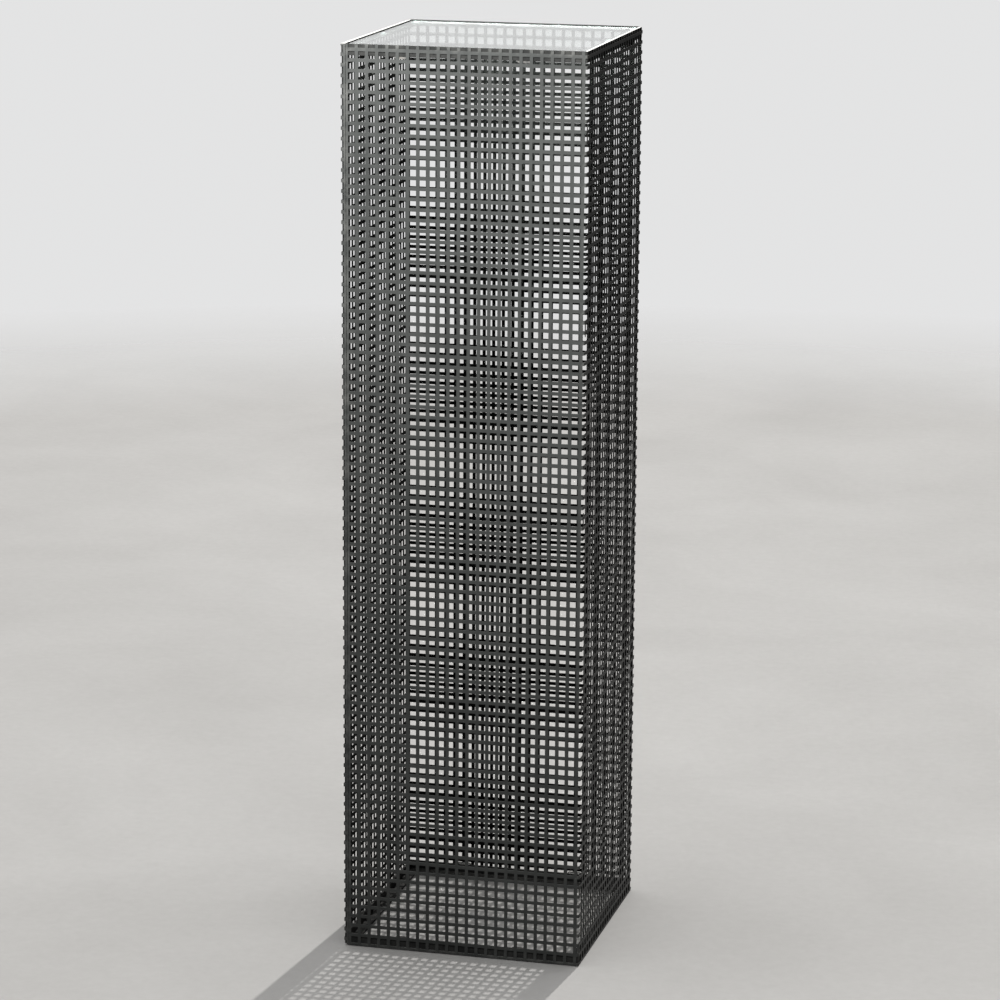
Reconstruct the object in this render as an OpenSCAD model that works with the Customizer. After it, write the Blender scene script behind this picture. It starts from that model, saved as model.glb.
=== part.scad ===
// Display plinth: a tall square column of perforated steel sheet with an inset glass top.
// Units are millimetres. +Z is up, the front faces -Y, and the origin is the centre of the
// footprint at floor level.

/* [Column] */
// Outside width of the column, left to right
column_w = 288; // [240:1:300]
// Outside depth of the column, front to back
column_d = 288; // [240:1:300]
// Height of the sheet shell, lower edge to top edge
column_h = 1075; // [600:1:1100]
// Gap between the lower edge of the sheet and the floor
floor_gap = 1; // [0.5:0.5:3]

/* [Perforated sheet] */
// Thickness of the steel sheet
sheet_t = 1; // [1:0.25:2]
// Side of a square opening in the stock sheet
stock_opening = 8; // [6:0.5:9]
// Centre-to-centre pitch of the openings in the stock sheet
stock_pitch = 12; // [12:0.5:16]
// Enlargement of the stock pattern; opening and pitch grow together, so the open share stays
pattern_scale = 1.5; // [1.5, 2, 2.5, 3]
// Depth of the open notches where the top edge cuts through the last row
top_notch = 6.9; // [3:0.1:8]
// Width of the narrow return that every sheet folds round its corner
seam_lip = 6; // [4:0.1:12]
// Gap of the butt seam between a return and the next sheet
seam_gap = 0.5; // [0.2:0.1:1]

/* [Angle frames] */
// Leg length of the equal angle
angle_leg = 13; // [12:0.5:20]
// Thickness of the angle
angle_t = 3; // [2:0.5:3]
// Height of the lower frame above the lower edge of the sheet
frame_lift = 1; // [0.5:0.5:3]

/* [Glass top] */
// Thickness of the glass plate
glass_t = 8; // [5:1:8]
// Clearance between the glass and the upright leg of the frame, each side
glass_clear = 1; // [0.5:0.25:2]
// Corner radius of the glass plate
glass_corner = 3; // [1:0.5:8]
// Thickness of the clear bumpers under the glass
bumper_t = 1; // [0.5:0.25:1]
// Diameter of the clear bumpers
bumper_d = 8; // [5:0.5:8]

/* [Welds and floor pads] */
// Diameter of the floor pads
pad_d = 11; // [8:0.5:12]
// Leg of the fillet stitches
weld_leg = 2.5; // [1.5:0.25:3]
// Length of one stitch
weld_len = 18; // [10:1:30]
// Stitches up each seam
seam_stitches = 5; // [3:1:7]

/* [Hidden] */
$fn = 48;

// Half sizes of the column, to the outer and inner faces of the sheets
outer_half_w = column_w / 2;
outer_half_d = column_d / 2;
inner_half_w = outer_half_w - sheet_t;
inner_half_d = outer_half_d - sheet_t;

// Perforation
opening = stock_opening * pattern_scale;
pitch = stock_pitch * pattern_scale;
web = pitch - opening;
rows = ceil((column_h + opening) / pitch);

// Heights above the floor
sheet_top_z = floor_gap + column_h;
top_frame_z = sheet_top_z - angle_leg;
low_frame_z = floor_gap + frame_lift;
flange_top_z = top_frame_z + angle_t;
glass_z = flange_top_z + bumper_t;

// Glass, bumpers and pads
glass_half_w = inner_half_w - angle_t - glass_clear;
glass_half_d = inner_half_d - angle_t - glass_clear;
bumper_gap = 1.5;       // bumper edge to the upright leg of the frame
pad_gap = 0.8;          // pad edge to the inner face of the sheet

// Seam stitches
seam_weld_w = 4.4;      // width across the seam
seam_weld_t = 1;        // thickness
seam_weld_overlap = 2;  // share of the width that lies behind the return
seam_weld_inset = 80;   // end stitch centre to the angle leg's length in from the sheet edge

black = [0.16, 0.16, 0.155];
angle_black = [0.20, 0.20, 0.19];
weld_grey = [0.30, 0.29, 0.27];
glass_green = [0.72, 0.86, 0.82, 0.45];
clear_pad = [0.88, 0.90, 0.90, 0.7];
rubber_black = [0.07, 0.07, 0.07];

// Sides of the column, in quarter turns anticlockwise from the front as seen from above
FRONT = 0;
RIGHT = 1;
BACK = 2;
LEFT = 3;

// Half length of a side, at the outer or inner faces of the sheets. The half length of the
// next side is also this side's distance from the column's axis.
function outer_half(side) = side % 2 == 0 ? outer_half_w : outer_half_d;
function inner_half(side) = side % 2 == 0 ? inner_half_w : inner_half_d;

// Turns what is drawn on the front onto another side
module on_side(side) {
    rotate([0, 0, 90 * side]) children();
}

// Flat perforated sheet, length along local x and height along local y, lower left at the
// origin. Columns are centred; rows hang from the top edge, which cuts the last one open.
module sheet_outline(len) {
    cols = floor((len - web) / pitch);
    margin = (len - cols * pitch + web) / 2;
    difference() {
        square([len, column_h]);
        for (i = [0 : cols - 1], j = [0 : rows - 1]) {
            y = column_h - top_notch - j * pitch;
            if (y > web / 2)
                translate([margin + i * pitch, y]) square(opening);
        }
    }
}

// The same sheet stood upright with its outer face on the plane y = 0 and its body behind it
module upright_sheet(len) {
    translate([0, sheet_t, floor_gap])
        rotate([90, 0, 0])
            linear_extrude(sheet_t) sheet_outline(len);
}

// One wall: the flat sheet and its narrow return folded round onto the next side.
// The sheet starts behind the return of its neighbour, across the butt seam.
module folded_sheet(side) {
    half = outer_half(side);
    dist = outer_half(side + 1);
    seam = seam_lip + seam_gap;
    on_side(side) union() {
        translate([-half + seam, -dist, 0]) upright_sheet(2 * half - seam);
        translate([half - sheet_t, -dist, floor_gap]) cube([sheet_t, seam_lip, column_h]);
    }
}

module front_panel() { color(black) folded_sheet(FRONT); }
module right_panel() { color(black) folded_sheet(RIGHT); }
module back_panel()  { color(black) folded_sheet(BACK); }
module left_panel()  { color(black) folded_sheet(LEFT); }

// Plan of one mitred flat strip: outer edge on y = 0, inward width w
module mitred_strip(half, w) {
    polygon([[-half, 0], [half, 0], [half - w, w], [-half + w, w]]);
}

// One mitred length of equal angle, flange at the bottom and upright leg outside
module angle_rail(side, z) {
    half = inner_half(side);
    on_side(side) translate([0, -inner_half(side + 1), z]) union() {
        linear_extrude(angle_t) mitred_strip(half, angle_leg);
        linear_extrude(angle_leg) mitred_strip(half, angle_t);
    }
}

module top_rail_front() { color(angle_black) angle_rail(FRONT, top_frame_z); }
module top_rail_right() { color(angle_black) angle_rail(RIGHT, top_frame_z); }
module top_rail_back()  { color(angle_black) angle_rail(BACK, top_frame_z); }
module top_rail_left()  { color(angle_black) angle_rail(LEFT, top_frame_z); }

module bottom_rail_front() { color(angle_black) angle_rail(FRONT, low_frame_z); }
module bottom_rail_right() { color(angle_black) angle_rail(RIGHT, low_frame_z); }
module bottom_rail_back()  { color(angle_black) angle_rail(BACK, low_frame_z); }
module bottom_rail_left()  { color(angle_black) angle_rail(LEFT, low_frame_z); }

// Rectangular plate with small rounded corners
module glass_top() {
    r = glass_corner;
    color(glass_green) translate([0, 0, glass_z]) linear_extrude(glass_t) union() {
        square([2 * glass_half_w - 2 * r, 2 * glass_half_d], center = true);
        square([2 * glass_half_w, 2 * glass_half_d - 2 * r], center = true);
        for (sx = [-1, 1], sy = [-1, 1])
            translate([sx * (glass_half_w - r), sy * (glass_half_d - r)]) circle(r);
    }
}

// Eight clear bumpers on the flange, one in each corner and one at each mid-side
module glass_bumpers() {
    inset = angle_t + bumper_d / 2 + bumper_gap;
    color(clear_pad)
        for (i = [-1 : 1], j = [-1 : 1])
            if (i != 0 || j != 0)
                translate([i * (inner_half_w - inset), j * (inner_half_d - inset), flange_top_z])
                    cylinder(h = bumper_t, d = bumper_d);
}

// Four pads that fill the height from the floor to the corners of the lower frame
module floor_pads() {
    inset = pad_d / 2 + pad_gap;
    color(rubber_black)
        for (sx = [-1, 1], sy = [-1, 1])
            translate([sx * (inner_half_w - inset), sy * (inner_half_d - inset), 0])
                cylinder(h = low_frame_z, d = pad_d);
}

// Fillet stitch centred along x, right angle on the x axis, one leg along +y and the other
// up (rise = 1) or down (rise = -1)
module stitch(rise) {
    translate([-weld_len / 2, 0, 0]) rotate([90, 0, 90]) linear_extrude(weld_len)
        polygon([[0, 0], [weld_leg, 0], [0, rise * weld_leg]]);
}

// Two stitches on each side, halfway from its middle to its ends, joining a frame to the
// sheets at height z
module frame_stitches(z, rise) {
    for (side = [FRONT : LEFT], end = [-1, 1])
        on_side(side)
            translate([end * inner_half(side) / 2, -inner_half(side + 1), z]) stitch(rise);
}

// Below the upper frame
module top_frame_welds() {
    color(weld_grey) frame_stitches(top_frame_z, rise = -1);
}

// Above the upright legs of the lower frame
module bottom_frame_welds() {
    color(weld_grey) frame_stitches(low_frame_z + angle_leg, rise = 1);
}

// Low flat stitches behind each butt seam, bridging the return and the next sheet
module seam_welds() {
    end_inset = angle_leg + seam_weld_inset;
    step = (column_h - 2 * end_inset) / (seam_stitches - 1);
    first_z = floor_gap + end_inset - weld_len / 2;
    color(weld_grey)
        for (side = [FRONT : LEFT], k = [0 : seam_stitches - 1]) {
            x = -outer_half(side) + seam_lip - seam_weld_overlap;
            on_side(side)
                translate([x, -inner_half(side + 1), first_z + k * step])
                    cube([seam_weld_w, seam_weld_t, weld_len]);
        }
}

front_panel();
right_panel();
back_panel();
left_panel();
top_rail_front();
top_rail_right();
top_rail_back();
top_rail_left();
bottom_rail_front();
bottom_rail_right();
bottom_rail_back();
bottom_rail_left();
glass_top();
glass_bumpers();
floor_pads();
top_frame_welds();
bottom_frame_welds();
seam_welds();
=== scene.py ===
"""A square column of four perforated black steel sheets on angle frames, with a glass top.

The column stands on z = 0 and is centred on x = y = 0. Its front faces -y, its right side +x.
Mesh sizes are in millimetres. Shaders, lights and camera are in metres.
"""
import math

import bmesh
import bpy
import numpy as np
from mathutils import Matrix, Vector


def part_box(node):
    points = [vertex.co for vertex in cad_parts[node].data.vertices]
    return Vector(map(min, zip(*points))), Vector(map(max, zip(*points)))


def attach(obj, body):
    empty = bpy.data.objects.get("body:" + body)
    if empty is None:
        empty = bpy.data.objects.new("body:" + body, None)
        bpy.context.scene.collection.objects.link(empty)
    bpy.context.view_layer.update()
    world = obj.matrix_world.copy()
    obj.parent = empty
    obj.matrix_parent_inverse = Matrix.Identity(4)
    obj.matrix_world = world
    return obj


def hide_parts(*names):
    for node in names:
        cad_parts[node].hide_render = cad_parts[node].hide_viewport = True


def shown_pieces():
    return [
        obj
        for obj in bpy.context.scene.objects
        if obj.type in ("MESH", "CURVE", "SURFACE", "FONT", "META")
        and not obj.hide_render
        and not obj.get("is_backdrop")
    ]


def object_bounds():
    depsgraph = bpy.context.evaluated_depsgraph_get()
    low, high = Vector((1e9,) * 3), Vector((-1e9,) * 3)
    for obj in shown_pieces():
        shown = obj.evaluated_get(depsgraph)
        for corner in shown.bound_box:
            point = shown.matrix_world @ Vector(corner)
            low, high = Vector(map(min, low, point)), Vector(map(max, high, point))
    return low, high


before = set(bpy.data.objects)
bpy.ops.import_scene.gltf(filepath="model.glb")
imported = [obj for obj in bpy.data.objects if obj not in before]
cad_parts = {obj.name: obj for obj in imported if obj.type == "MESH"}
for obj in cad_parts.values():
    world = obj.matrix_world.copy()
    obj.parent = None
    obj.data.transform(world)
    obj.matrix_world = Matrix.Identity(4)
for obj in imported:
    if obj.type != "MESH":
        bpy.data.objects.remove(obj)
cad_lo, cad_hi = [list(v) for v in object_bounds()]
scene = bpy.context.scene


def box_mm(name):
    """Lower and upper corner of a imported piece, in millimetres."""
    return [[v * 1000.0 for v in corner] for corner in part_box(name)]


# ---------------------------------------------------------------- driving sizes
HALF_WIDTH = cad_hi[0] * 1000.0         # outside of the column, along x
HALF_DEPTH = cad_hi[1] * 1000.0         # outside of the column, along y
SHEET_BOTTOM, SHEET_TOP = [corner[2] for corner in box_mm("front_panel")]
THICKNESS = 1.0
FOLD_RADIUS = 2.0                       # outside radius of a fold
FOLD_LENGTH = 2.28                      # length of sheet a fold takes up
FOLD_STEPS = 6
LIP = 6.0                               # narrow return of each sheet
GAP = 0.5                               # butt seam
PITCH = 12.0                            # square grid of openings
OPENING = 8.0
MIN_OPENING = 1.2                       # anything narrower at an edge stays solid
MIN_SPACING = 0.2                       # between a fold line and any other mesh line
ROLL = 0.16                             # rolled edge round each punched opening
FRONT_DROP = -3.88                      # from the top edge down to the start of a row
BACK_DROP = FRONT_DROP - PITCH / 2

# name, quarter turns from the front, where an opening starts along the sheet, drop
WALLS = (
    ("front", 0, 9.2, FRONT_DROP),
    ("right", 1, 5.0, FRONT_DROP),
    ("back", 2, 2.7, BACK_DROP),
    ("left", 3, 5.68, BACK_DROP),
)

BEAD_LENGTH = 17.6
SEAM_BEADS = 5                          # on each seam
SEAM_BEAD_END = 9.0                     # from a seam's end to the middle of its last bead
BUMPER_RADIUS = 4.0
PAD_RADIUS = 5.5
GLASS_CORNER = 3.0


# ---------------------------------------------------------------- node helpers
class Nodes:
    """Builds the node tree of a material or a world."""

    def __init__(self, owner):
        owner.use_nodes = True
        self.tree = owner.node_tree
        self.tree.nodes.clear()

    def add(self, kind, inputs=None, **settings):
        node = self.tree.nodes.new("ShaderNode" + kind)
        for key, value in settings.items():
            setattr(node, key, value)
        for key, value in (inputs or {}).items():
            self.put(node, key, value)
        return node

    def put(self, node, key, value):
        """Links a socket, or sets a plain value. A tuple is an opaque colour."""
        target = node.inputs[key]
        if isinstance(value, bpy.types.NodeSocket):
            self.tree.links.new(value, target)
        elif isinstance(value, tuple):
            target.default_value = (*value, 1.0)
        else:
            target.default_value = value

    def math(self, operation, *values, clamp=False):
        inputs = dict(enumerate(values))
        return self.add("Math", inputs, operation=operation, use_clamp=clamp).outputs[0]

    def plus(self, a, b, clamp=False):
        return self.math("ADD", a, b, clamp=clamp)

    def minus(self, a, b, clamp=False):
        return self.math("SUBTRACT", a, b, clamp=clamp)

    def times(self, a, b, clamp=False):
        return self.math("MULTIPLY", a, b, clamp=clamp)

    def plus_share(self, base, extra, share, clamp=False):
        """base + extra * share"""
        return self.plus(base, self.times(extra, share), clamp)

    def excess(self, value, over, gain):
        """How far value lies over a threshold, times gain, held to 0..1."""
        return self.times(self.minus(value, over), gain, clamp=True)

    def split(self, vector):
        return self.add("SeparateXYZ", {0: vector}).outputs


class Material(Nodes):
    def __init__(self, name):
        self.material = bpy.data.materials.new(name)
        super().__init__(self.material)
        self.output = self.add("OutputMaterial")
        self.coords = self.add("TexCoord").outputs["Object"]

    def noise(self, scale, detail, roughness, distortion=0.0):
        return self.add("TexNoise", {
            "Vector": self.coords, "Scale": scale, "Detail": detail,
            "Roughness": roughness, "Distortion": distortion}).outputs["Fac"]

    def ramp(self, factor, *stops):
        """Two stops, each (position, colour)."""
        node = self.add("ValToRGB", {"Fac": factor})
        for element, (position, colour) in zip(node.color_ramp.elements, stops):
            element.position = position
            element.color = (*colour, 1.0)
        return node.outputs["Color"]

    def mix(self, factor, a, b):
        return self.add("Mix", {0: factor, 6: a, 7: b}, data_type="RGBA").outputs[2]

    def bump(self, height, strength, distance, normal=None):
        inputs = {"Height": height, "Strength": strength, "Distance": distance}
        if normal is not None:
            inputs["Normal"] = normal
        return self.add("Bump", inputs).outputs["Normal"]

    def principled(self, inputs):
        return self.add("BsdfPrincipled", inputs).outputs[0]

    def clear_where(self, factor, shader, colour=None):
        """Shader that turns transparent where factor is 1."""
        clear = self.add("BsdfTransparent", {"Color": colour} if colour else None).outputs[0]
        return self.add("MixShader", {0: factor, 1: shader, 2: clear}).outputs[0]

    def finish(self, shader):
        self.put(self.output, "Surface", shader)
        return self.material


# ---------------------------------------------------------------- materials
def coated_steel(name, dark, light, roughness, wear, sheen, grain=900.0):
    """Satin black coat: clouded tone, fine orange peel, rubbed edges, a little dust, and a
    painted highlight on the upper edge.
    """
    n = Material(name)
    cloud = n.noise(scale=9.0, detail=5.0, roughness=0.6)
    fine = n.noise(scale=160.0, detail=3.0, roughness=0.5)
    tone = n.plus_share(n.times(cloud, 0.75), fine, share=0.25)
    colour = n.ramp(tone, (0.32, dark), (0.68, light))

    # rubbed where the surface turns sharply, broken up by noise
    geometry = n.add("NewGeometry").outputs
    edge = n.excess(geometry["Pointiness"], over=0.5, gain=9.0)
    patch = n.excess(n.noise(scale=35.0, detail=6.0, roughness=0.7), over=0.44, gain=5.0)
    rub = n.times(n.times(edge, patch), wear, clamp=True)
    colour = n.mix(rub, colour, (0.16, 0.155, 0.145))

    # dust lies on faces that look up, and thins to a tenth within 2 mm of the upper edge
    up = n.excess(n.split(geometry["Normal"])["Z"], over=0.6, gain=2.0)
    dust = n.times(up, n.times(n.noise(scale=60.0, detail=4.0, roughness=0.6), 0.15))
    place_at = n.split(n.coords)
    low = n.excess((SHEET_TOP - 2.0) / 1000.0, over=place_at["Z"], gain=2000.0)
    dust = n.times(dust, n.math("MULTIPLY_ADD", low, 0.9, 0.1))
    colour = n.mix(dust, colour, (0.30, 0.29, 0.27))

    # painted highlight on the upper edge, coloured and made glossy like bare metal, mostly on
    # its left and right sides, ending at the mitres
    high = n.excess(place_at["Z"], over=(SHEET_TOP - 0.35) / 1000.0, gain=4000.0)
    edge_highlight_paint = n.times(n.times(high, up), 1.0, clamp=True)
    reach = n.minus(n.math("ABSOLUTE", place_at["X"]), n.math("ABSOLUTE", place_at["Y"]))
    sides = n.math("MULTIPLY_ADD", reach, 1500.0, 0.5, clamp=True)
    edge_highlight_paint = n.times(edge_highlight_paint, n.math("MULTIPLY_ADD", sides, 0.97, 0.03))
    uneven = n.plus_share(0.75, n.noise(scale=45.0, detail=5.0, roughness=0.6), share=0.4)
    edge_highlight_paint = n.times(edge_highlight_paint, uneven, clamp=True)
    colour = n.mix(edge_highlight_paint, colour, (0.62, 0.61, 0.59))

    peel = n.noise(scale=grain, detail=2.0, roughness=0.5)
    scuff = n.noise(scale=22.0, detail=6.0, roughness=0.65, distortion=0.4)
    rough = n.plus_share(roughness - 0.10, scuff, share=0.20)
    rough = n.plus_share(rough, dust, share=0.5, clamp=True)
    rough = n.minus(rough, n.times(edge_highlight_paint, 0.16), clamp=True)
    normal = n.bump(scuff, strength=0.10, distance=0.0006)
    normal = n.bump(peel, strength=0.16, distance=0.0002, normal=normal)

    # the upper edge is matt where it has no painted highlight, and the painted highlight has
    # the usual 0.5 specular of bare metal
    matt = n.times(n.times(high, up), 0.85)
    gleam = n.times(sheen, n.minus(1.0, matt))
    return n.finish(n.principled({
        "Base Color": colour, "Roughness": rough, "Normal": normal,
        "Specular IOR Level": n.plus_share(gleam, edge_highlight_paint, share=0.5 - sheen),
        "Metallic": n.times(edge_highlight_paint, 0.85)}))


def weld_metal(name):
    """Coat pulled thin over weld metal."""
    n = Material(name)
    blot = n.noise(scale=220.0, detail=4.0, roughness=0.6)
    colour = n.ramp(blot, (0.35, (0.030, 0.029, 0.028)), (0.7, (0.095, 0.088, 0.080)))
    rough = n.plus_share(0.34, n.noise(scale=90.0, detail=3.0, roughness=0.6), share=0.3)
    grain = n.noise(scale=700.0, detail=3.0, roughness=0.6)
    return n.finish(n.principled({
        "Base Color": colour, "Roughness": rough, "Metallic": 0.25,
        "Normal": n.bump(grain, strength=0.35, distance=0.0003)}))


def float_glass(name):
    """Clear float glass: faint green body, polished faces, finger marks and a ground edge."""
    n = Material(name)
    smear = n.noise(scale=14.0, detail=5.0, roughness=0.62, distortion=0.8)
    marks = n.excess(smear, over=0.52, gain=2.2)
    speck = n.excess(n.noise(scale=420.0, detail=2.0, roughness=0.5), over=0.70, gain=3.0)
    normal_z = n.split(n.add("NewGeometry").outputs["Normal"])["Z"]
    level = n.times(n.math("ABSOLUTE", normal_z), 1.4, clamp=True)
    edge = n.minus(1.0, level, clamp=True)
    rough = n.plus_share(n.times(marks, 0.05), speck, share=0.10)
    rough = n.plus_share(rough, edge, share=0.22, clamp=True)
    tint = n.mix(edge, (0.93, 0.975, 0.955), (0.62, 0.84, 0.76))
    ripple = n.noise(scale=5.0, detail=2.0, roughness=0.5)
    glass = n.principled({
        "Base Color": tint, "Roughness": rough, "IOR": 1.52, "Transmission Weight": 1.0,
        "Normal": n.bump(ripple, strength=0.02, distance=0.0004)})
    # light passes the plate instead of being held back as a caustic
    shadow_ray = n.add("LightPath").outputs["Is Shadow Ray"]
    return n.finish(n.clear_where(shadow_ray, glass, colour=(0.86, 0.93, 0.90)))


def soft_plastic(name, dark, light, roughness, transmission=0.0):
    n = Material(name)
    tone = n.noise(scale=120.0, detail=4.0, roughness=0.6)
    colour = n.ramp(tone, (0.3, dark), (0.7, light))
    uneven = n.noise(scale=300.0, detail=3.0, roughness=0.6)
    rough = n.plus_share(roughness, uneven, share=0.2)
    grain = n.noise(scale=900.0, detail=3.0, roughness=0.6)
    return n.finish(n.principled({
        "Base Color": colour, "Roughness": rough,
        "Normal": n.bump(grain, strength=0.25, distance=0.0002),
        "IOR": 1.42, "Transmission Weight": transmission}))


def concrete(name):
    n = Material(name)
    cloud = n.noise(scale=1.7, detail=6.0, roughness=0.6, distortion=0.3)
    grit = n.noise(scale=70.0, detail=5.0, roughness=0.65)
    tone = n.plus_share(n.times(cloud, 0.7), grit, share=0.3)
    colour = n.ramp(tone, (0.33, (0.49, 0.48, 0.465)), (0.66, (0.59, 0.58, 0.565)))
    normal = n.bump(grit, strength=0.12, distance=0.001)
    surface = n.principled({
        "Base Color": colour, "Roughness": n.plus_share(0.72, grit, share=0.2),
        "Specular IOR Level": 0.25, "Normal": normal})
    # the floor fades out before its rim, so no edge shows from any side
    radius = n.add("VectorMath", {0: n.coords}, operation="LENGTH").outputs["Value"]
    fade = n.add("MapRange", {"Value": radius, "From Min": 3.1, "From Max": 4.3})
    return n.finish(n.clear_where(fade.outputs["Result"], surface))


SHEET = coated_steel("sheet_coat", dark=(0.017, 0.0176, 0.017), light=(0.030, 0.0308, 0.0297),
                     roughness=0.52, wear=0.22, sheen=0.14)
# a much darker copy of the same coat: painted shade on the inner faces and opening walls,
# where little light reaches
SHEET_PAINTED_SHADE = coated_steel("sheet_coat_painted_shade", dark=(0.004, 0.004, 0.004),
                        light=(0.008, 0.008, 0.0075), roughness=0.70, wear=0.12, sheen=0.06)
ANGLE = coated_steel("angle_coat", dark=(0.006, 0.006, 0.006), light=(0.012, 0.012, 0.0115),
                     roughness=0.62, wear=0.15, sheen=0.08, grain=600.0)
WELD = weld_metal("weld_coat")
GLASS = float_glass("float_glass")
BUMPER = soft_plastic("clear_bumper", dark=(0.72, 0.75, 0.75), light=(0.84, 0.86, 0.86),
                      roughness=0.18, transmission=0.6)
PAD = soft_plastic("rubber_pad", dark=(0.016, 0.016, 0.016), light=(0.034, 0.033, 0.032),
                   roughness=0.62)


# ---------------------------------------------------------------- object helpers
def paint(obj, material):
    obj.data.materials.clear()
    obj.data.materials.append(material)


def place(obj, body, replaced):
    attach(obj, body)
    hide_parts(replaced)


def link_new(name, data):
    obj = bpy.data.objects.new(name, data)
    scene.collection.objects.link(obj)
    return obj


def link_smooth(name, mesh, sharp_deg):
    mesh.polygons.foreach_set("use_smooth", [True] * len(mesh.polygons))
    mesh.set_sharp_from_angle(angle=math.radians(sharp_deg))
    return link_new(name, mesh)


def add_mesh(name, verts, faces, sharp_deg, material):
    """Object from points in millimetres, with its normals turned outward."""
    mesh = bpy.data.meshes.new(name)
    mesh.from_pydata([(x / 1000, y / 1000, z / 1000) for x, y, z in verts], [], faces)
    mesh.validate()
    bm = bmesh.new()
    bm.from_mesh(mesh)
    bmesh.ops.recalc_face_normals(bm, faces=bm.faces)
    bm.to_mesh(mesh)
    bm.free()
    obj = link_smooth(name, mesh, sharp_deg)
    paint(obj, material)
    return obj


def join_rings(verts, faces, rings):
    """Adds rings of points and the sides between them. Returns the two end rings' indices."""
    base, size = len(verts), len(rings[0])
    for ring in rings:
        verts.extend(ring)
    last = len(verts) - size
    for start in range(base, last, size):
        for i in range(size):
            j = (i + 1) % size
            faces.append((start + i, start + j, start + size + j, start + size + i))
    return tuple(range(base, base + size)), tuple(range(last, last + size))


def add_solid(verts, faces, rings):
    """Closed solid through rings listed from below to above."""
    bottom, top = join_rings(verts, faces, rings)
    faces += [bottom[::-1], top]


def turned(point, quarter):
    """Point, or arrays of coordinates, turned about z by quarter turns."""
    x, y, z = point
    cos = round(math.cos(quarter * math.pi / 2))
    sin = round(math.sin(quarter * math.pi / 2))
    return cos * x - sin * y, sin * x + cos * y, z


# ---------------------------------------------------------------- perforated sheets
# Quad corners as steps in (layer, along the sheet, up the sheet).
OUTER_FACE = ((0, 0, 0), (0, 1, 0), (0, 1, 1), (0, 0, 1))
INNER_FACE = ((0, 0, 0), (0, 0, 1), (0, 1, 1), (0, 1, 0))
# Step to the neighbouring cell, then the wall a solid cell needs if that one is empty.
CELL_WALLS = (
    ((1, 0), ((0, 1, 0), (1, 1, 0), (1, 1, 1), (0, 1, 1))),
    ((-1, 0), ((0, 0, 0), (0, 0, 1), (1, 0, 1), (1, 0, 0))),
    ((0, 1), ((0, 0, 1), (0, 1, 1), (1, 1, 1), (1, 0, 1))),
    ((0, -1), ((0, 0, 0), (1, 0, 0), (1, 1, 0), (0, 1, 0))),
)


def opening_spans(first, lo, hi):
    """Openings between lo and hi, when one of them starts at first."""
    spans = []
    k = math.floor((lo - first) / PITCH) - 1
    while first + k * PITCH < hi:
        start = max(first + k * PITCH, lo)
        end = min(first + k * PITCH + OPENING, hi)
        if end - start > MIN_OPENING:
            spans.append((start, end))
        k += 1
    return spans


def grid_lines(openings, lo, hi, extra=()):
    """Mesh lines along one direction, and whether each strip between them is open."""
    lines = {round(lo, 5), round(hi, 5)}
    for start, end in openings:
        lines.update((round(start, 5), round(end, 5)))
    for line in extra:
        if all(abs(line - other) > MIN_SPACING for other in lines):
            lines.add(round(line, 5))
    lines = sorted(lines)
    is_open = [any(start - 1e-4 <= (p + q) / 2 <= end + 1e-4 for start, end in openings)
               for p, q in zip(lines[:-1], lines[1:])]
    return np.array(lines), np.array(is_open)


def widened(lines, is_open):
    """Lines with every opening widened by the rolled edge. The sheet's own ends stay."""
    out = lines.copy()
    out[1:-1] += ROLL * (is_open[:-1].astype(int) - is_open[1:])
    return out


def folded(along, depth, half, distance):
    """Plan of the front sheet at lengths along it, depth in from its outer face."""
    flat_end = 2.0 * half - FOLD_RADIUS
    past = along - flat_end
    angle = np.clip(past / FOLD_LENGTH, 0.0, 1.0) * math.pi / 2
    radius = FOLD_RADIUS - depth
    x = np.where(past > 0, half - FOLD_RADIUS + radius * np.sin(angle), along - half)
    bent_y = (-distance + FOLD_RADIUS - radius * np.cos(angle)
              + np.maximum(past - FOLD_LENGTH, 0.0))
    return x, np.where(past > 0, bent_y, -distance + depth)


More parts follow.
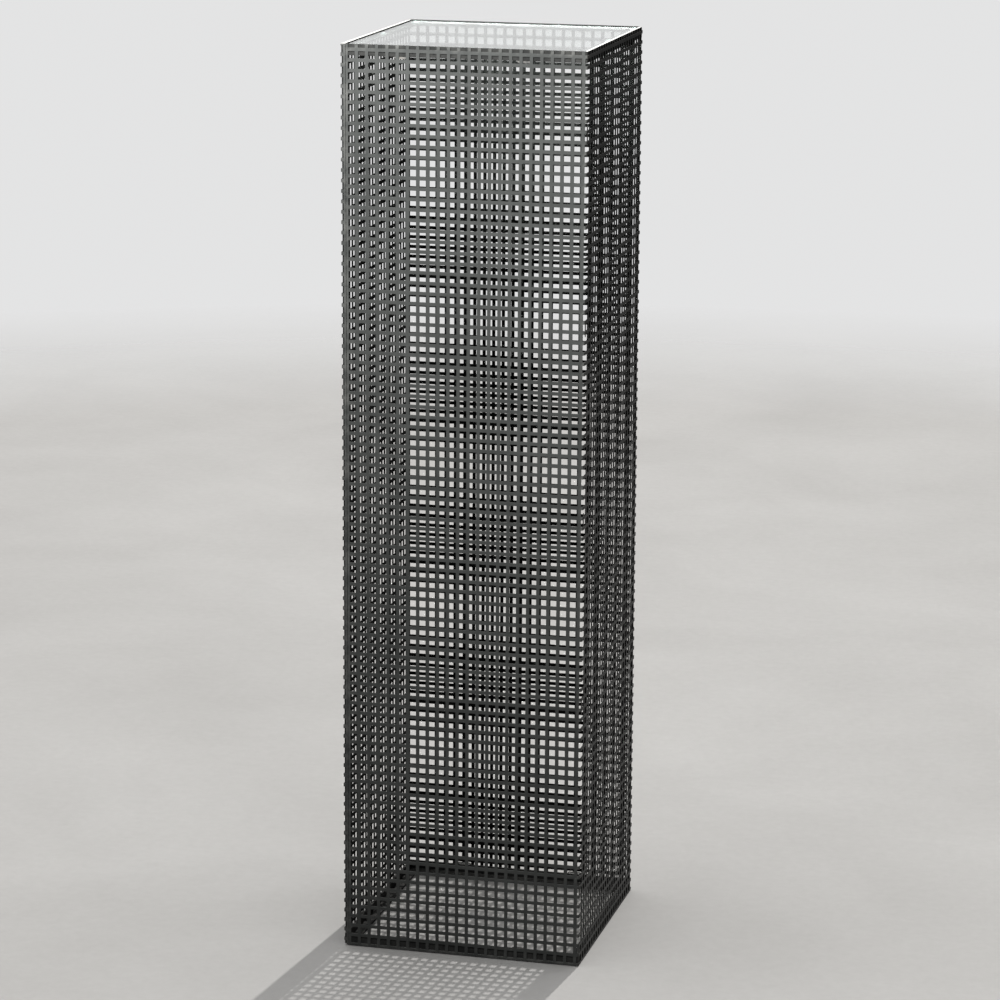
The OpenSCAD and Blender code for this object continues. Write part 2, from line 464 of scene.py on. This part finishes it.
def perforated_sheet(name, half, distance, quarter, phase, drop):
    """One wall with its return, as a closed sheet with every opening cut through it.

    It is laid out flat on a grid, then folded at its right-hand end as seen from outside."""
    flat_end = 2.0 * half - FOLD_RADIUS
    start = LIP + GAP
    end = flat_end + FOLD_LENGTH + (LIP - FOLD_RADIUS)
    columns = opening_spans(phase, start, end)
    rows = [(SHEET_TOP - b, SHEET_TOP - a)
            for a, b in opening_spans(drop, 0.0, SHEET_TOP - SHEET_BOTTOM)]
    fold_lines = [flat_end + FOLD_LENGTH * i / FOLD_STEPS for i in range(FOLD_STEPS + 1)]
    along, along_open = grid_lines(columns, start, end, fold_lines)
    height, height_open = grid_lines(rows, SHEET_BOTTOM, SHEET_TOP)
    n, m = len(along_open), len(height_open)

    # layers: outer face, foot of the rolled edge, inner face
    layers = []
    for line_s, line_z, depth in (
            (widened(along, along_open), widened(height, height_open), 0.0),
            (along, height, ROLL), (along, height, THICKNESS)):
        x, y = folded(line_s, depth, half, distance)
        layer = np.zeros((n + 1, m + 1, 3))
        layer[:, :, 0] = x[:, None]
        layer[:, :, 1] = y[:, None]
        layer[:, :, 2] = line_z[None, :]
        layers.append(layer.reshape(-1, 3))
    verts = np.concatenate(layers)

    solid = np.zeros((n + 2, m + 2), bool)    # with an empty border all round
    solid[1:-1, 1:-1] = ~(along_open[:, None] & height_open[None, :])
    here = solid[1:-1, 1:-1]

    def quads(cells, layer, corners):
        i, j = np.nonzero(cells)
        return np.stack([((layer + dl) * (n + 1) + i + ds) * (m + 1) + j + dz
                         for dl, ds, dz in corners], 1)

    groups = [quads(here, 0, OUTER_FACE), quads(here, 2, INNER_FACE)]
    for layer in (0, 1):
        for (ds, dz), corners in CELL_WALLS:
            neighbour = solid[1 + ds:1 + ds + n, 1 + dz:1 + dz + m]
            groups.append(quads(here & ~neighbour, layer, corners))
    # the outer face and the rolled edges wear the outside coat; the inner face and the opening
    # walls take a much darker copy of it, which is painted shade
    coat = np.concatenate([np.full(len(quad), 0 if g in (0, 2, 3, 4, 5) else 1, np.int32)
                           for g, quad in enumerate(groups)])
    faces = np.concatenate(groups)
    used, inverse = np.unique(faces, return_inverse=True)
    faces = inverse.reshape(faces.shape)
    verts = np.stack(turned(verts[used].T, quarter), 1)

    mesh = bpy.data.meshes.new(name)
    mesh.from_pydata((verts / 1000.0).tolist(), [], faces.tolist())
    mesh.materials.append(SHEET)
    mesh.materials.append(SHEET_PAINTED_SHADE)
    mesh.polygons.foreach_set("material_index", coat)
    return link_smooth(name, mesh, sharp_deg=28)


for side, quarter, phase, drop in WALLS:
    half, distance = (HALF_WIDTH, HALF_DEPTH) if quarter % 2 == 0 else (HALF_DEPTH, HALF_WIDTH)
    sheet = perforated_sheet("sheet_" + side, half, distance, quarter, phase, drop)
    place(sheet, "plinth", side + "_panel")

# ---------------------------------------------------------------- angle frames
for level in ("top", "bottom"):
    for side, *_ in WALLS:
        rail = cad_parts["%s_rail_%s" % (level, side)]
        join = rail.modifiers.new("shared_corners", "WELD")
        join.merge_threshold = 0.00001
        soften = rail.modifiers.new("mill_edge", "BEVEL")
        soften.width = 0.0004
        soften.segments = 2
        soften.limit_method = "ANGLE"
        soften.angle_limit = math.radians(40)
        paint(rail, ANGLE)


# ---------------------------------------------------------------- glass plate
def rounded_rectangle(half_x, half_y, radius, z, steps=8):
    x, y = half_x - radius, half_y - radius
    points = []
    for cx, cy, first in ((x, -y, -90), (x, y, 0), (-x, y, 90), (-x, -y, 180)):
        for k in range(steps + 1):
            a = math.radians(first + 90.0 * k / steps)
            points.append((cx + radius * math.cos(a), cy + radius * math.sin(a), z))
    return points


def glass_plate():
    (_, _, bottom), (half_x, half_y, top) = box_mm("glass_top")
    # inset of the outline, z
    stations = ((0.6, bottom), (0.25, bottom + 0.2), (0.0, bottom + 0.6),
                (0.0, top - 0.6), (0.25, top - 0.2), (0.6, top))
    verts, faces = [], []
    add_solid(verts, faces, [
        rounded_rectangle(half_x - inset, half_y - inset, GLASS_CORNER - inset, z)
        for inset, z in stations])
    plate = add_mesh("glass_plate", verts, faces, 18.0, GLASS)
    place(plate, "glass", "glass_top")


glass_plate()


# ---------------------------------------------------------------- bumpers and pads
def discs(name, centres, profile, segments, material):
    """Turned discs, profile as (radius, z) from below to above."""
    verts, faces = [], []
    angles = [2 * math.pi * k / segments for k in range(segments)]
    for cx, cy in centres:
        add_solid(verts, faces, [
            [(cx + r * math.cos(a), cy + r * math.sin(a), z) for a in angles]
            for r, z in profile])
    return add_mesh(name, verts, faces, 24.0, material)


def bumpers():
    """Eight dots: at the corners and the middles of the sides."""
    (_, _, bottom), (x, y, top) = box_mm("glass_bumpers")
    x, y = x - BUMPER_RADIUS, y - BUMPER_RADIUS
    centres = [(i * x, j * y) for i in (-1, 0, 1) for j in (-1, 0, 1) if i or j]
    profile = [(3.95, bottom), (BUMPER_RADIUS, bottom + 0.25), (3.8, bottom + 0.6),
               (3.2, bottom + 0.88), (2.2, top)]
    place(discs("bumper_dots", centres, profile, 32, BUMPER),
          "plinth", "glass_bumpers")


def pads():
    """Four floor pads, one at each corner."""
    x, y, top = box_mm("floor_pads")[1]
    x, y = x - PAD_RADIUS, y - PAD_RADIUS
    centres = [(i * x, j * y) for i in (-1, 1) for j in (-1, 1)]
    profile = [(4.9, 0.0), (5.35, 0.25), (PAD_RADIUS, 0.6), (PAD_RADIUS, top)]
    place(discs("foot_pads", centres, profile, 36, PAD), "plinth", "floor_pads")


bumpers()
pads()

# ---------------------------------------------------------------- welds
BEAD_STEPS = 22
BEAD_ARC = 6
BEAD_RIPPLES = 9
BEAD_TAPER = 0.125                      # share of the length that tapers at each end


def bead(verts, faces, middle, along, legs, seed, bulge):
    """Rippled fillet bead. along is its direction, legs the two directions it leans on.

    bulge runs from 0, a flat fillet face, to 1, a full round."""
    rng = np.random.default_rng(seed)
    wobble = rng.uniform(-0.06, 0.06, BEAD_STEPS + 1)
    rings = []
    for i in range(BEAD_STEPS + 1):
        f = i / BEAD_STEPS
        to_end = min(f, 1 - f)
        size = 1.0 + 0.07 * math.cos(f * 2 * math.pi * BEAD_RIPPLES) + wobble[i]
        if to_end < BEAD_TAPER:
            size *= 0.45 + 0.55 * math.sin(math.pi / 2 * to_end / BEAD_TAPER)
        root = [middle[k] + along[k] * (f - 0.5) * BEAD_LENGTH for k in range(3)]
        ring = [tuple(root)]
        for j in range(BEAD_ARC + 1):
            a = math.pi / 2 * j / BEAD_ARC
            cos, sin = math.cos(a), math.sin(a)
            reach = (bulge + (1 - bulge) / (cos + sin)) * size
            ring.append(tuple(root[k] + (legs[0][k] * cos + legs[1][k] * sin) * reach
                              for k in range(3)))
        rings.append(ring)
    first, last = join_rings(verts, faces, rings)
    faces += [first, last[::-1]]


def frame_beads(name, replaced, up, first_seed):
    """Two beads on each wall's inner face, above (up = 1) or below (up = -1) a level."""
    (_, _, bottom), (_, _, top) = box_mm(replaced)
    z = top if up < 0 else bottom
    leg = (top - bottom) * 0.93
    half_x, half_y = HALF_WIDTH - THICKNESS, HALF_DEPTH - THICKNESS
    verts, faces = [], []
    for q in range(4):
        half, distance = (half_x, half_y) if q % 2 == 0 else (half_y, half_x)
        for side in (-1, 1):
            bead(verts, faces, turned((side * half * 0.5, -distance, z), q),
                 turned((1, 0, 0), q), (turned((0, leg, 0), q), (0, 0, up * leg)),
                 seed=first_seed + 10 * q + side, bulge=0.3)
    place(add_mesh(name, verts, faces, 60.0, WELD), "plinth", replaced)


def seam_beads():
    """Low upright beads behind the four butt seams."""
    (_, _, bottom), (_, _, top) = box_mm("seam_welds")
    span = top - bottom - 2 * SEAM_BEAD_END
    verts, faces = [], []
    for q in range(4):
        half, distance = (HALF_WIDTH, HALF_DEPTH) if q % 2 == 0 else (HALF_DEPTH, HALF_WIDTH)
        seam = -half + LIP + GAP / 2
        legs = turned((1.7, 0.0, 0), q), turned((-0.2, 0.9, 0), q)
        for k in range(SEAM_BEADS):
            z = bottom + SEAM_BEAD_END + span * k / (SEAM_BEADS - 1)
            bead(verts, faces, turned((seam, THICKNESS - distance, z), q), (0, 0, 1), legs,
                 seed=200 + 10 * q + k, bulge=0.5)
    place(add_mesh("seam_beads", verts, faces, 60.0, WELD), "plinth", "seam_welds")


frame_beads("top_beads", "top_frame_welds", up=-1.0, first_seed=105)
frame_beads("bottom_beads", "bottom_frame_welds", up=1.0, first_seed=5)
seam_beads()

# ---------------------------------------------------------------- floor
bm = bmesh.new()
bmesh.ops.create_circle(bm, cap_ends=True, segments=128, radius=4.4)
floor_mesh = bpy.data.meshes.new("floor")
bm.to_mesh(floor_mesh)
bm.free()
floor = link_new("floor", floor_mesh)
floor.location = (0.0, 0.0, -0.0002)    # just under the pads
paint(floor, concrete("pale_concrete"))
floor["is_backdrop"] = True


# ---------------------------------------------------------------- lights
def add_light(name, kind, **settings):
    light = bpy.data.lights.new(name, kind)
    for key, value in settings.items():
        setattr(light, key, value)
    return link_new(name, light)


def aim(obj, source, target):
    direction = Vector(target) - Vector(source)
    obj.rotation_euler = direction.to_track_quat("-Z", "Y").to_euler()


def light_only(light, name, objects):
    group = bpy.data.collections.new(name)
    for obj in objects:
        group.objects.link(obj)
    light.light_linking.receiver_collection = group


top_front = add_light("top_front", "AREA", shape="SQUARE", size=0.55, energy=21.0,
                      spread=math.radians(74.0), color=(0.98, 1.0, 0.995))
top_front.location = (-0.30, -1.05, 1.80)
aim(top_front, (-0.30, -1.05, 1.80), (0.0, -0.14, 1.10))
# the right and back sheets are left out
light_only(top_front, "lit_by_top_front",
           [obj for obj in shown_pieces() if obj.name not in ("sheet_right", "sheet_back")])

high_back = add_light("high_back", "SUN", energy=1.75, angle=math.radians(0.5),
                      color=(1.0, 0.985, 0.96))
aim(high_back, (28.1, 288.0, 234.0), (0.0, 0.0, 0.0))

# a very broad overhead sun keeps the shadow on the floor pale
floor_fill = add_light("floor_fill", "SUN", energy=0.97, angle=math.radians(140.0))
light_only(floor_fill, "lit_by_floor_fill", [floor])


# ---------------------------------------------------------------- world
def studio():
    """An even pale background. What lights the column is a softer sky: dim in front,
    brighter above and behind, with a wall behind that only glossy rays see."""
    world = bpy.data.worlds.new("studio")
    scene.world = world
    n = Nodes(world)
    ray = n.split(n.add("TexCoord").outputs["Generated"])
    above = n.times(n.plus(ray["Z"], 0.10), 2.2, clamp=True)
    behind = n.plus(n.times(ray["Y"], 0.5), 0.5)
    sky = n.times(above, n.plus(n.times(behind, 0.60), 0.05))
    sky = n.plus(sky, 0.03)
    wall = n.times(n.times(ray["Y"], 2.0, clamp=True), above)
    # the wall fades out to the right of centre
    wall = n.times(wall, n.minus(0.4, n.times(ray["X"], 4.0), clamp=True))
    path = n.add("LightPath").outputs
    gloss = n.times(n.times(wall, path["Is Glossy Ray"]), 1.25)
    light = n.plus(sky, gloss)
    seen = n.math("MAXIMUM", path["Is Camera Ray"], path["Is Transmission Ray"])
    background = 0.775
    level = n.add("Mix", {0: seen, 2: light, 3: background}, data_type="FLOAT").outputs[0]
    shader = n.add("Background", {"Color": (0.995, 0.997, 1.0), "Strength": level})
    n.add("OutputWorld", {"Surface": shader.outputs[0]})


studio()
scene.view_settings.view_transform = "Standard"
scene.view_settings.look = "None"

# ---------------------------------------------------------------- camera
camera_data = bpy.data.cameras.new("camera")
camera_data.sensor_width = 36.0
camera_data.lens = 134.557
camera_data.clip_end = 100.0
camera = link_new("camera", camera_data)
camera.location = (1.0814, -4.2015, 1.5278)
camera.rotation_euler = [math.radians(a) for a in (76.96032, -0.30057, 14.38953)]
scene.camera = camera
